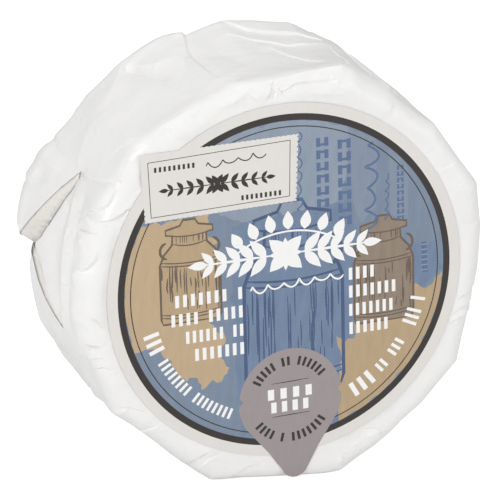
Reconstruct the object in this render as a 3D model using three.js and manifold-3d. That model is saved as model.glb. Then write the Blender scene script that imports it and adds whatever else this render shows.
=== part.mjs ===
// A small soft-ripened cheese wheel in its paper wrapping, standing on its rim.
// Millimetres, +Z up. The wheel's axis is Y and its label faces -Y.
// The model is made around the wheel's centre, and the group is moved at the end
// so that the middle of its base is the origin.
import * as THREE from "three";
import { mergeVertices } from "three/addons/utils/BufferGeometryUtils.js";
import Module from "manifold-3d";

const wasm = await Module();
wasm.setup();

// ---- driving dimensions ----

const cheeseDiameter = 74.6;
const cheeseThickness = 27.2;
const cheeseEdgeRound = 4; // radius of the rind's rounded edges
const cheeseEdgeSteps = 6;

const paper = 0.35; // the wrapping's wall: one sheet with its overlaps
const sideGap = 0.4; // between the cheese's side and the paper
const faceGap = 0.3; // between the cheese's faces and the paper
const rimTurn = 3.2; // how far the paper's edges round over from face to side
const rimTurnDepth = 2.2; // the same, along the axis
const openingDiameter = 12; // hole left where the pleats meet on the back
const wrapperSegments = 120;

const footLayers = 1.2; // folded paper under the wheel, below the paper's own circle
const footLeft = 16; // degrees from straight down to the foot's left corner
const footRight = 20; // and to its right corner

// Corners where the folded paper stands proud of its own circle, going
// anticlockwise from +X as seen from the label: [degrees, millimetres proud].
// The paper runs straight between corners, or rests on the circle.
const frontCorners = [
  [0, 0.9], [12, 1.5], [24, 2.7], [45, 1.7], [75, 1.3], [108, 1.1], [138, 2.2], [156, 1.2],
  [189, 1.1], [219, 1.6], [306, 2.2], [318, 2.0], [333, 2.7],
];
const backCorners = [
  [24, 2.3], [48, 1.6], [66, 2.4], [81, 3.6], [99, 4.8], [114, 4.9], [126, 4.5], [138, 4.0],
  [186, 2.0], [201, 2.1], [213, 1.9], [228, 1.9], [306, 1.7], [333, 2.1],
];
// The loose flap of paper at the back, on the wheel's left.
const flapCorners = [[153, 4.6], [162, 6.7], [174, 5.6]];

const labelGap = 0.3; // between a label and the paper it is stuck to
const labelThickness = 0.3;
const labelMargin = 4.05; // paper left showing round the front label's circle
const labelTurn = 5.3; // degrees that the label is turned anticlockwise
const labelSteps = 40;
// The stamp is a rectangle that crosses the circle's edge: its middle is this far
// inside the edge, at this angle.
const stamp = { width: 30, height: 13.2, inset: 8.95, degrees: 120.5 };
// The tab has a round head inside the circle and a small round tip past its edge.
const tab = { headRadius: 10, headInset: 11, headX: 0.5, tipRadius: 2.5, tipReach: 4.2, tipX: 1.8 };
const closureDiameter = 52; // round label that holds the pleats on the back

// ---- values worked out from them ----

const cheeseRadius = cheeseDiameter / 2;
const paperRadius = cheeseRadius + sideGap + paper;
const paperFace = cheeseThickness / 2 + faceGap + paper;
const footDrop = paperRadius + footLayers;
const labelRadius = paperRadius - labelMargin;

// ---- materials ----

const material = (color, roughness) =>
  new THREE.MeshStandardMaterial({ color, roughness, metalness: 0 });

const rindMaterial = material(0xf1ead9, 0.85);
const paperMaterial = material(0xf0efec, 0.35);
const labelMaterial = material(0x8791a0, 0.5);
const closureMaterial = material(0xdedbd5, 0.5);

// ---- helpers ----

const radians = THREE.MathUtils.degToRad;

// A closed solid as a manifold, for joining.
function toManifold(geometry) {
  const bare = geometry.clone();
  bare.deleteAttribute("normal");
  bare.deleteAttribute("uv");
  const merged = mergeVertices(bare);
  return new wasm.Manifold(new wasm.Mesh({
    numProp: 3,
    vertProperties: new Float32Array(merged.attributes.position.array),
    triVerts: new Uint32Array(merged.index.array),
  }));
}

function toGeometry(solid) {
  const mesh = solid.getMesh();
  const geometry = new THREE.BufferGeometry();
  geometry.setAttribute("position", new THREE.BufferAttribute(mesh.vertProperties, 3));
  geometry.setIndex(new THREE.BufferAttribute(mesh.triVerts, 1));
  geometry.computeVertexNormals();
  return geometry;
}

function named(name, geometry, itsMaterial) {
  const mesh = new THREE.Mesh(geometry, itsMaterial);
  mesh.name = name;
  return mesh;
}

// ---- the cheese: one disc with rounded edges ----

function makeCheese() {
  const half = cheeseThickness / 2;
  const flatRadius = cheeseRadius - cheeseEdgeRound;
  const profile = [new THREE.Vector2(0, -half)];
  for (const side of [-1, 1]) {
    for (let step = 0; step <= cheeseEdgeSteps; step++) {
      const share = step / cheeseEdgeSteps;
      const angle = (Math.PI / 2) * (side < 0 ? share - 1 : share);
      profile.push(new THREE.Vector2(
        flatRadius + cheeseEdgeRound * Math.cos(angle),
        side * (half - cheeseEdgeRound) + cheeseEdgeRound * Math.sin(angle),
      ));
    }
  }
  profile.push(new THREE.Vector2(0, half));
  return named("cheese", new THREE.LatheGeometry(profile, 96), rindMaterial);
}

// ---- the wrapper ----

// The corners of one rim in order, its own and the foot's two, with the last and
// the first repeated a turn away so that every angle lies between two of them.
function rimCorners(corners) {
  const points = corners.map(([degrees, proud]) => ({ angle: degrees, radius: paperRadius + proud }));
  points.push({ angle: 270 - footLeft, radius: footDrop / Math.cos(radians(footLeft)) });
  points.push({ angle: 270 + footRight, radius: footDrop / Math.cos(radians(footRight)) });
  points.sort((a, b) => a.angle - b.angle);
  const first = { ...points[0], angle: points[0].angle + 360 };
  const last = { ...points.at(-1), angle: points.at(-1).angle - 360 };
  return [last, ...points, first];
}

// How far the paper lies from the axis at an angle: paper pulled round a circle
// and over the corners that stand proud of it.
function rimRadius(corners, degrees) {
  const next = corners.findIndex((corner) => corner.angle > degrees);
  const before = corners[next - 1];
  const after = corners[next];
  const fromBefore = radians(degrees - before.angle);
  const toAfter = radians(after.angle - degrees);
  const reachBefore = Math.acos(paperRadius / before.radius);
  const reachAfter = Math.acos(paperRadius / after.radius);
  if (reachBefore + reachAfter >= fromBefore + toAfter) {
    return (before.radius * after.radius * Math.sin(fromBefore + toAfter))
      / (before.radius * Math.sin(fromBefore) + after.radius * Math.sin(toAfter));
  }
  if (fromBefore < reachBefore) return paperRadius / Math.cos(reachBefore - fromBefore);
  if (toAfter < reachAfter) return paperRadius / Math.cos(reachAfter - toAfter);
  return paperRadius;
}

// The sheet is turned as a plain drum with an open back, and each of its points
// is then moved out to where the folded rims put it.
function makeWrapper() {
  const sideStart = paperFace - rimTurnDepth;
  const outer = [
    [0, -paperFace],
    [paperRadius - rimTurn, -paperFace],
    [paperRadius - rimTurn * 0.3, -paperFace + rimTurnDepth * 0.3],
    [paperRadius, -sideStart],
    [paperRadius, sideStart],
    [paperRadius - rimTurn * 0.3, paperFace - rimTurnDepth * 0.3],
    [paperRadius - rimTurn, paperFace],
    [openingDiameter / 2, paperFace],
  ];
  const inner = outer.map(([radius, y], row) => {
    const onFace = Math.abs(y) === paperFace;
    const insideRadius = row === 0 || row === outer.length - 1 ? radius : radius - paper;
    return [insideRadius, onFace ? y - Math.sign(y) * paper : y];
  }).reverse();
  const profile = [...outer, ...inner].map(([radius, y]) => new THREE.Vector2(radius, y));
  const geometry = new THREE.LatheGeometry(profile, wrapperSegments);

  const front = rimCorners(frontCorners);
  const back = rimCorners([...backCorners, ...flapCorners]);
  const position = geometry.attributes.position;
  for (let i = 0; i < position.count; i++) {
    const x = position.getX(i);
    const y = position.getY(i);
    const z = position.getZ(i);
    const radius = Math.hypot(x, z);
    if (radius < paperRadius - rimTurn - paper - 0.01) continue;
    const degrees = (THREE.MathUtils.radToDeg(Math.atan2(z, x)) + 360) % 360;
    const share = THREE.MathUtils.clamp((y + sideStart) / (2 * sideStart), 0, 1);
    const rim = THREE.MathUtils.lerp(rimRadius(front, degrees), rimRadius(back, degrees), share);
    const grown = (radius + rim - paperRadius) / radius;
    position.setXYZ(i, x * grown, y, z * grown);
  }
  return named("wrapper", geometry, paperMaterial);
}

// ---- the labels ----

// A flat outline, drawn as seen from the front, as a plate facing -Y.
function labelPlate(shape) {
  const plate = new THREE.ExtrudeGeometry(shape, {
    depth: labelThickness, bevelEnabled: false, curveSegments: labelSteps,
  });
  return plate.rotateX(Math.PI / 2);
}

function circleShape(radius) {
  const shape = new THREE.Shape();
  shape.absarc(0, 0, radius, 0, 2 * Math.PI, false);
  return shape;
}

function stampShape() {
  const reach = labelRadius - stamp.inset;
  const left = reach * Math.cos(radians(stamp.degrees)) - stamp.width / 2;
  const bottom = reach * Math.sin(radians(stamp.degrees)) - stamp.height / 2;
  return new THREE.Shape([
    new THREE.Vector2(left, bottom),
    new THREE.Vector2(left + stamp.width, bottom),
    new THREE.Vector2(left + stamp.width, bottom + stamp.height),
    new THREE.Vector2(left, bottom + stamp.height),
  ]);
}

// The tab's tapered foot: straight sides from its round head to its small tip.
function tabShape() {
  const head = new THREE.Vector2(tab.headX, tab.headInset - labelRadius);
  const tip = new THREE.Vector2(tab.tipX, tab.tipRadius - labelRadius - tab.tipReach);
  const along = Math.atan2(tip.y - head.y, tip.x - head.x);
  const side = Math.acos((tab.headRadius - tab.tipRadius) / head.distanceTo(tip));
  const shape = new THREE.Shape();
  shape.absarc(tip.x, tip.y, tab.tipRadius, along - side, along + side, false);
  shape.absarc(head.x, head.y, tab.headRadius, along + side, along - side + 2 * Math.PI, false);
  return shape;
}

function makeFrontLabel() {
  const pieces = [circleShape(labelRadius), stampShape(), tabShape()];
  const joined = pieces.map(labelPlate).map(toManifold).reduce((sum, piece) => sum.add(piece));
  const mesh = named("front_label", toGeometry(joined), labelMaterial);
  mesh.rotation.y = -radians(labelTurn);
  mesh.position.y = -paperFace - labelGap;
  return mesh;
}

function makeBackLabel() {
  const mesh = named("back_label", labelPlate(circleShape(closureDiameter / 2)), closureMaterial);
  mesh.position.y = paperFace + labelGap + labelThickness;
  return mesh;
}

// ---- assembly ----

const wheel = new THREE.Group();
wheel.add(makeCheese(), makeWrapper(), makeFrontLabel(), makeBackLabel());

const box = new THREE.Box3().setFromObject(wheel, true);
wheel.position.set(-(box.min.x + box.max.x) / 2, -(box.min.y + box.max.y) / 2, -box.min.z);

export default wheel;
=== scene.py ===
# A small soft-ripened cheese wheel in folded white paper with its printed labels.
# Blender 4.5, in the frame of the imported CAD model: metres, the wheel's axis is Y, the
# front label faces -Y and +Z is up. Sizes here are in millimetres where nothing else is said.
import math

import bpy
import numpy as np
from mathutils import Matrix, Vector
from mathutils.geometry import delaunay_2d_cdt
from mathutils.kdtree import KDTree


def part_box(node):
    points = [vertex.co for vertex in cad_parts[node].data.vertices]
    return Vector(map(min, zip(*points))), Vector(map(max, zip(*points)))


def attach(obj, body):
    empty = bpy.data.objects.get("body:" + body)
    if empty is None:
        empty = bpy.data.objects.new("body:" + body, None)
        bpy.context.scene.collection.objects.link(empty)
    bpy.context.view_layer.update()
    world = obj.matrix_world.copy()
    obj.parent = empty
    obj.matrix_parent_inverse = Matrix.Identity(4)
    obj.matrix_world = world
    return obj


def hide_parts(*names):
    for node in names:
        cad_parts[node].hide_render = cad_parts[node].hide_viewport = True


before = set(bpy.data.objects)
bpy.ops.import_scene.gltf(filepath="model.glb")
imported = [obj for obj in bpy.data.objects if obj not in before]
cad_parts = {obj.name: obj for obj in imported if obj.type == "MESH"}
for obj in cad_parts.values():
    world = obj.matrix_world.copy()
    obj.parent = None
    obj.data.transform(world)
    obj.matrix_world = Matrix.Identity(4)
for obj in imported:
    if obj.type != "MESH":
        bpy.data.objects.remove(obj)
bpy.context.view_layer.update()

MM = 0.001

# ---- sizes, in millimetres, from the CAD solids ----

cheese_low, cheese_high = (np.array(corner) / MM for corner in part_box("cheese"))
wrapper_low, wrapper_high = (np.array(corner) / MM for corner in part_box("wrapper"))
back_low, back_high = (np.array(corner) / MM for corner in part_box("back_label"))

CENTRE = (cheese_low + cheese_high) / 2
CHEESE_R = (cheese_high[0] - cheese_low[0]) / 2
PAPER_R = CHEESE_R + 0.75            # the paper's own circle, before its folds
FACE = wrapper_high[1] - CENTRE[1]   # from the middle to the paper's flat faces
RIM = 3.2                            # radius of the paper's turn from face to side
HALF_SIDE = FACE - RIM
RIM_ARC = RIM * math.pi / 2
RIM_END = HALF_SIDE + RIM_ARC        # distance across at which the flat face starts
FACE_END = RIM_END + PAPER_R - RIM   # distance across at the middle of the face
CLOSURE_R = (back_high[0] - back_low[0]) / 2
LABEL_R = 34.0                       # the round part of the front label
PAPER_THICK = 0.12                   # of a loose part of the wrapper and of a label
FLOOR_GAP = 0.02                     # kept between the paper and the floor

SEAM = -90.0        # degrees: where the sheet's two ends meet, under the wheel
STEP = 0.56         # spacing of the sheet's points where it is seen
FOLD_STEP = 0.42    # spacing of the points along a fold
ROW_SHARE, PATCH_ROW_SHARE = 0.87, 0.8   # spacing of the rows of points, as a share of STEP
MERGE = 1e-5        # points of the sheet closer than this are one

SETTLE = 0.0015     # how quickly a fold's effect dies away from it
SHEET_ROUNDS, PATCH_ROUNDS = 900, 700   # rounds that relax the paper
OVERLAP_WIDTH = 0.3                     # from an overlap's lip to the paper below it
SHARP = math.radians(20)                # creases sharper than this show as edges
LARGE_FACETS = (8.5, 0.36)              # spacing and height of the crumple's facets
SMALL_FACETS = (3.4, 0.11)
PATCH_CRUMPLE = 0.35                    # share of the crumple on the loose parts

PRESSED = 0.3       # paper is flat this far outside the front label's circle
EASED = 1.6         # and is held low this far outside it
EASED_HEIGHT = 0.5
EASED_FALL = 0.38   # its height falls this much for each millimetre towards the label
CLOSURE_HEIGHT = 0.28                   # the most that pleats rise under the back label

# The tab and the stamp hold the paper down between these angles, from this far past the
# edge of the side.
TAB_ANGLES, TAB_PAST = (258, -72), 0.4
STAMP_ANGLES, STAMP_PAST = (129, 150), 2.2

SHEET_SEED, TUCK_SEED, PRINT_SEED = 5, 11, 40   # of random draws


# ---- the wheel's own coordinates ----
# A point of the paper has an angle, in degrees anticlockwise from +X as seen from
# the label, a distance across the side from its middle, positive to the back and
# following the paper over the rims and along the faces, and a height above the
# drum that the paper is wrapped round.

def profile(across):
    """Radius and depth of the drum, and its outward normal, for distances across."""
    across = np.asarray(across, float)
    sign = np.sign(across)
    beyond = np.abs(across) - HALF_SIDE
    turn = np.clip(beyond / RIM, 0, math.pi / 2)
    along = np.clip(beyond - RIM_ARC, 0, None)
    radius = PAPER_R - RIM + RIM * np.cos(turn) - along
    depth = np.where(beyond > 0, sign * (HALF_SIDE + RIM * np.sin(turn)), across)
    return radius, depth, np.cos(turn), sign * np.sin(turn)


def place(angle, across, height):
    """Positions in millimetres in the CAD frame."""
    radius, depth, out, back = profile(across)
    theta = np.radians(angle)
    reach = radius + height * out
    return CENTRE + np.stack(
        [reach * np.cos(theta), depth + height * back, reach * np.sin(theta)], -1)


def wrap(angle):
    """The same angle, within one turn from the seam."""
    return (angle - SEAM) % 360 + SEAM


FLAT = np.array([math.radians(1) * PAPER_R, 1])   # (angle, across) to millimetres laid flat


# ---- the paper's own shape ----
# Corners of the paper's outline at its front and back rims: angle, and how far the
# corner stands out from the paper's circle. The paper is straight between corners.

FOOT = CENTRE[2] - wrapper_low[2]
FOOT_LEFT, FOOT_RIGHT = 254, 290


def foot_corner(angle):
    return angle, FOOT / math.cos(math.radians(angle - 270)) - PAPER_R


FRONT_RIM = [
    (-75, 3.1), (-54, 2.2), (-42, 2.0), (-27, 2.7), (0, 0.9), (12, 1.5), (24, 2.7), (45, 1.7),
    (75, 1.3), (108, 1.1), (138, 2.2), (156, 1.2), (189, 1.1), (219, 1.6),
    foot_corner(FOOT_LEFT), foot_corner(FOOT_RIGHT),
]
BACK_RIM = [
    (-54, 1.7), (-27, 2.1), (0, 1.3), (24, 2.3), (48, 1.6), (66, 2.4), (81, 3.6), (99, 4.8),
    (114, 4.9), (126, 4.5), (138, 4.0), (150, 3.5), (162, 2.7), (186, 2.0), (201, 2.1),
    (213, 1.9), (228, 1.9), foot_corner(FOOT_LEFT), foot_corner(FOOT_RIGHT),
]


def rim_rise(angle, corners):
    """How far a rim's straight-sided outline stands out from the paper's circle."""
    ring = sorted((wrap(a), rise) for a, rise in corners)
    ring = [(ring[-1][0] - 360, ring[-1][1])] + ring + [(ring[0][0] + 360, ring[0][1])]
    at = np.radians([a for a, _ in ring])
    reach = PAPER_R + np.array([rise for _, rise in ring])
    theta = np.radians(wrap(np.asarray(angle, float)))
    after = np.clip(np.searchsorted(at, theta), 1, len(at) - 1)
    a, b, ra, rb = at[after - 1], at[after], reach[after - 1], reach[after]
    chord = ra * rb * np.sin(b - a) / (ra * np.sin(theta - a) + rb * np.sin(b - theta))
    return chord - PAPER_R


def base_height(angle, across):
    """Height of the plain wrapped shape, with flat faces and rounded rims."""
    across = np.asarray(across, float)
    share = np.clip((across + HALF_SIDE) / (2 * HALF_SIDE), 0, 1)
    front, back = rim_rise(angle, FRONT_RIM), rim_rise(angle, BACK_RIM)
    rise = front + share * (back - front)
    turn = np.clip((np.abs(across) - HALF_SIDE) / RIM, 0, math.pi / 2)
    reach = np.sqrt(np.clip(RIM ** 2 - (rise * np.sin(turn)) ** 2, 0, None))
    round_part = rise * np.cos(turn) + reach
    flat_part = RIM / np.maximum(np.sin(turn), 1e-6)
    on_face = RIM * np.cos(turn) <= rise * np.sin(turn)
    return np.where(on_face, flat_part, round_part) - RIM


# ---- folding ----

def fold_points(fold):
    """Close-set points along one fold: angle, across and height.

    Each point of the fold is (angle, across, height), or (angle, across) to lie on
    the plain wrapped shape.
    """
    follows_base = len(fold[0]) == 2
    points = np.array([(wrap(point[0]), *point[1:]) for point in fold], float)
    made = [points[:1]]
    for start, end in zip(points, points[1:]):
        length = math.hypot(math.radians(end[0] - start[0]) * PAPER_R, end[1] - start[1])
        count = max(1, round(length / FOLD_STEP))
        share = np.arange(1, count + 1)[:, None] / count
        made.append(start + share * (end - start))
    made = np.concatenate(made)
    if follows_base:
        made = np.column_stack([made, base_height(made[:, 0], made[:, 1])])
    return made


def triangulate(plain, lines):
    """Joins plain points (angle, across) and fold lines into triangles.

    Returns the points' angles and acrosses, the heights that the folds fix (nan
    where free) and the triangles.
    """
    fixed = np.concatenate(lines)
    flat_fixed = fixed[:, :2] * FLAT
    flat_plain = plain * FLAT
    flat_plain = flat_plain[~near_any(flat_plain, flat_fixed, FOLD_STEP * 0.8)]
    coords = np.concatenate([flat_fixed, flat_plain])
    edges, start = [], 0
    for line in lines:
        edges += [(i, i + 1) for i in range(start, start + len(line) - 1)]
        start += len(line)
    result = delaunay_2d_cdt([Vector(c) for c in coords], edges, [], 0, MERGE)
    where = np.array([tuple(v) for v in result[0]]) / FLAT
    triangles = np.array([face for face in result[2] if len(face) == 3])
    heights = np.full(len(where), np.nan)
    for index, origins in enumerate(result[3]):
        known = [fixed[o, 2] for o in origins if o < len(fixed)]
        if known:
            heights[index] = max(known)
    return where, heights, triangles


def search_tree(points):
    tree = KDTree(len(points))
    for i, (x, y) in enumerate(points):
        tree.insert((x, y, 0), i)
    tree.balance()
    return tree


def near_any(points, others, limit):
    """True for each point that has one of the others within the limit."""
    tree = search_tree(others)
    return np.array([tree.find((x, y, 0))[2] < limit for x, y in points])


def relax(where, heights, triangles, rounds):
    """Heights of paper stretched between its folds, as smooth changes to the plain shape.

    Each free point moves to the mean of its neighbours. Most rounds also carry on a
    share of the last move, which settles the paper sooner; the pauses keep it stable.
    """
    carry, cycle, pause = 0.88, 50, 3
    count = len(where)
    pairs = np.concatenate([triangles[:, [0, 1]], triangles[:, [1, 2]], triangles[:, [2, 0]]])
    pairs = np.unique(np.sort(pairs, axis=1), axis=0)
    a = np.concatenate([pairs[:, 0], pairs[:, 1]])
    b = np.concatenate([pairs[:, 1], pairs[:, 0]])
    degree = np.bincount(a, minlength=count) * (1 + SETTLE)
    base = base_height(where[:, 0], where[:, 1])
    free = np.isnan(heights)
    change = np.where(free, 0, heights - base)
    held = change.copy()
    before = change.copy()
    for i in range(rounds):
        mean = np.bincount(a, change[b], count) / degree
        push = 0.0 if i % cycle < pause else carry
        fresh = mean + push * (change - before)
        before = change
        change = np.where(free, fresh, held)
    return base + change


def crumple(where, size, seed):
    """Small flat facets with creases between them, as heights in millimetres."""
    spacing, amount = size
    slack = 1e-9   # a point on a facet's edge counts as inside it
    rng = np.random.default_rng(seed)
    flat = where * FLAT
    low, high = flat.min(0) - spacing, flat.max(0) + spacing
    spots = np.array([(x, y) for y in np.arange(low[1], high[1], spacing)
                      for x in np.arange(low[0], high[0], spacing * 1.3)])
    spots = spots + rng.uniform(-0.45, 0.45, spots.shape) * spacing
    lift = rng.uniform(-amount, amount, len(spots))
    result = delaunay_2d_cdt([Vector(p) for p in spots], [], [], 0, MERGE)
    total = np.zeros(len(flat))
    for face in result[2]:
        p, q, r = (np.array(result[0][v]) for v in face)
        u, v, w = (lift[result[3][v][0]] for v in face)
        box_low = np.minimum(np.minimum(p, q), r)
        box_high = np.maximum(np.maximum(p, q), r)
        near = np.where(np.all((flat >= box_low) & (flat <= box_high), axis=1))[0]
        turn = np.linalg.inv(np.stack([q - p, r - p], -1))
        s, t = turn @ (flat[near] - p).T
        hit = (s >= -slack) & (t >= -slack) & (s + t <= 1 + slack)
        total[near[hit]] = (u + (v - u) * s + (w - u) * t)[hit]
    return total


def fade(value, low, high):
    """0 below low and 1 above high, with a smooth change between."""
    share = np.clip((value - low) / (high - low), 0, 1)
    return share * share * (3 - 2 * share)


def mesh_object(name, points, triangles):
    """An object for triangles between points in millimetres."""
    mesh = bpy.data.meshes.new(name)
    mesh.from_pydata((points * MM).tolist(), [], triangles.tolist())
    piece = bpy.data.objects.new(name, mesh)
    bpy.context.scene.collection.objects.link(piece)
    return piece


def thicken(piece):
    """Gives a sheet the paper's thickness, on its inner side."""
    solid = piece.modifiers.new("thickness", "SOLIDIFY")
    solid.thickness = PAPER_THICK * MM
    solid.offset = -1


def paper_object(name, where, height, triangles, facets, seed):
    """A mesh object of the sheet, with small facets between its folds.

    The facets are a share of the full crumple. There are none on the flat foot, under
    the front label or where the closing label holds the pleats.
    """
    angle, across = wrap(where[:, 0]), where[:, 1]
    right = wrap(FOOT_RIGHT)
    off_foot = (1 - fade(angle, FOOT_LEFT - 6, FOOT_LEFT - 1)) * fade(angle, right + 1, right + 6)
    on_front = fade(-across, RIM_END - 0.5, RIM_END + 1.2)
    on_back = fade(across, RIM_END + 6, RIM_END + 8)
    weight = facets * off_foot * (1 - on_front) * (1 - on_back)
    lift = crumple(where, LARGE_FACETS, seed) + crumple(where, SMALL_FACETS, seed + 1)
    points = place(where[:, 0], across, height + weight * lift)
    points[:, 2] = np.maximum(points[:, 2], wrapper_low[2] + FLOOR_GAP)
    piece = mesh_object(name, points, triangles)
    piece.data.validate()
    piece.data.shade_smooth()
    piece.data.set_sharp_from_angle(angle=SHARP)
    return piece


def rows(first, last, step):
    """Evenly spaced numbers from first to last, about a step apart."""
    count = max(1, round(abs(last - first) / step))
    return np.linspace(first, last, count + 1)


def drum_points():
    """Staggered rows of points over the whole sheet, closer where it shows."""
    front, back = -(FACE_END - 2), FACE_END - 7
    shown_front, shown_back = -(RIM_END + 3.6), FACE_END - CLOSURE_R + 2
    hidden_step, most_hidden_step = 1.6, 3.0
    hidden_spacing, fewest = 2.2, 40
    levels = np.concatenate([
        rows(front, shown_front, most_hidden_step)[:-1],
        rows(shown_front, shown_back, STEP * ROW_SHARE),
        rows(shown_back, back, hidden_step)[1:]])
    made = []
    for i, across in enumerate(levels):
        radius = float(profile(across)[0])
        spacing = STEP if shown_front <= across <= shown_back else hidden_spacing
        count = max(fewest, round(2 * math.pi * radius / spacing))
        turn = np.linspace(0, 360, count + 1)
        if i % 2:
            turn = np.concatenate([[0], (turn[:-1] + turn[1:]) / 2, [360]])
        made.append(np.stack([SEAM + turn, np.full(len(turn), across)], -1))
    return np.concatenate(made)


def close_seam(where, triangles):
    """Joins the sheet's two ends: each point at the far end becomes its partner."""
    close = 1e-4
    near = np.where(np.abs(where[:, 0] - SEAM) < close)[0]
    far = np.where(np.abs(where[:, 0] - SEAM - 360) < close)[0]
    index = np.arange(len(where))
    for i in far:
        index[i] = near[np.argmin(np.abs(where[near, 1] - where[i, 1]))]
    return index[triangles]


def drop_unused(where, heights, triangles):
    """Leaves out points that no triangle uses, and triangles of no area."""
    used = np.unique(triangles)
    fresh = np.zeros(len(where), int)
    fresh[used] = np.arange(len(used))
    keep = np.array([t for t in fresh[triangles] if len(set(t)) == 3])
    return where[used], heights[used], keep


def shifted(fold, degrees, rise):
    """A copy of a fold beside itself, for the lower side of an overlap."""
    return [(a + degrees, c, h + rise) for a, c, h in fold]


def overlap_lines(where, height, overlaps):
    """Small overlaps, laid on the paper where it already lies.

    Each overlap is (points, rise, drop, side) and may end with a width: the paper is
    lifted by rise along its lip and falls by drop beside it, to the left of the points
    (side 1) or to their right (side -1).
    """
    tree = search_tree(where * FLAT)
    blunt, fullness = 0.04, 0.6   # how an overlap's lip tapers off at its two ends
    made = []
    for points, rise, drop, side, *width in overlaps:
        line = fold_points([(a, c, 0) for a, c in points])
        flat = line[:, :2] * FLAT
        share = np.linspace(0, 1, len(line))
        taper = np.sin(math.pi * np.clip(share, blunt, 1 - blunt)) ** fullness
        own = np.array([
            np.mean([height[i] for _, i, _ in tree.find_n((x, y, 0), 3)]) for x, y in flat])
        along = np.gradient(flat, axis=0)
        along /= np.maximum(np.hypot(*along.T), 1e-9)[:, None]
        wide = width[0] if width else OVERLAP_WIDTH
        beside = np.stack([-along[:, 1], along[:, 0]], -1) * side * wide
        groove = (flat + beside * (0.5 + 0.5 * taper)[:, None]) / FLAT
        made.append(np.column_stack([line[:, :2], own + rise * taper]))
        made.append(np.column_stack([groove, own - drop * taper])[1:-1])
    return [line for line in made if len(line) > 1]


# ---- the folds ----
# Each fold is a few points of (angle, across, height).

def rim_to_rim(front, back):
    """A corner of the plain wrapped shape, from face to face."""
    onto_face = 13.9
    share = np.linspace(0, 1, 5)
    side = [(front + t * (back - front), -HALF_SIDE + t * 2 * HALF_SIDE) for t in share]
    return [(front, -onto_face)] + side + [(back, onto_face)]


CORNERS = [rim_to_rim(front, back) for front, back in (
    (FOOT_LEFT, FOOT_LEFT), (FOOT_RIGHT, FOOT_RIGHT), (0, 0), (12, 10), (24, 24), (45, 48),
    (219, 228), (306, 306), (333, 333))]

# The top: a sunk panel with a bright front crest and an overlap on its left.
CREST_LEFT, CREST_RIGHT = (105, -12.2, 0.95), (78, -11.8, 3.1)
OVERLAP = [
    (109, 12.8, 3.2), (109.2, 11.2, 4.75), (110.4, 8, 4.0), (111.4, 5, 3.15), (111.8, 3.2, 2.75),
    (111.4, 0, 2.4), (111, -4, 2.0), (110, -8.6, 1.5), (107.6, -10.6, 1.15), CREST_LEFT,
]
CREST = [
    CREST_LEFT, (101, -12.9, 1.15), (94, -12.9, 1.6), (87, -12.5, 2.2), (80, -12.0, 2.9),
    CREST_RIGHT,
]
TOP = [
    OVERLAP, shifted(OVERLAP[:-1], -0.6, -0.75), CREST,
    [CREST_RIGHT, (75.5, -7.5, 3.0), (74, -4, 3.0), (71, 2, 3.0), (69.5, 8, 3.1),
     (68.5, 11.4, 2.9)],
    [(92, 1.8, 2.15), (88, -2.6, 1.45), (84, -6.4, 1.5), (81, -8.4, 2.0)],
    [(104, 1.0, 1.7), (101, -3.4, 1.1), (98, -8, 0.8)],
    [(98, -14.1, 0.5), (95, -14.7, 0.2), (91, -14.0, 0.8), (84, -13.8, 1.3), (79, -13.4, 1.9)],
    [CREST_RIGHT, (73, -11.0, 2.3), (69, -10, 2.0), (62, -10.5, 1.8)],
]

# The left panel, with an eye-shaped bump near the back.
LEFT_PANEL = [
    [(126.5, 9.6, 4.5), (121, 10.4, 5.25), (116, 10.8, 5.5), (110.6, 10.6, 5.1)],
    [(127, 9.4, 3.8), (125.2, 6.5, 3.0), (123, 3.0, 2.5), (120.6, -0.6, 2.05), (118, -1.6, 2.05),
     (115, 0.2, 2.45), (112.8, 2.4, 2.95)],
    [(123.6, 7.6, 4.1), (120, 5.0, 3.7), (116.4, 5.6, 3.9), (112.6, 6.6, 4.0)],
    [(127.8, 9.4, 4.6), (132, 6.4, 4.4), (137, 4.0, 4.05), (142, 2.8, 3.8), (147, 1.6, 3.5),
     (151.4, 0.6, 3.0)],
    [(147.5, -12.9, 1.35), (140, -12.4, 1.8), (131, -12.2, 1.4), (122.5, -12.6, 0.95),
     (113, -13.0, 0.95), CREST_LEFT],
]

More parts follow.
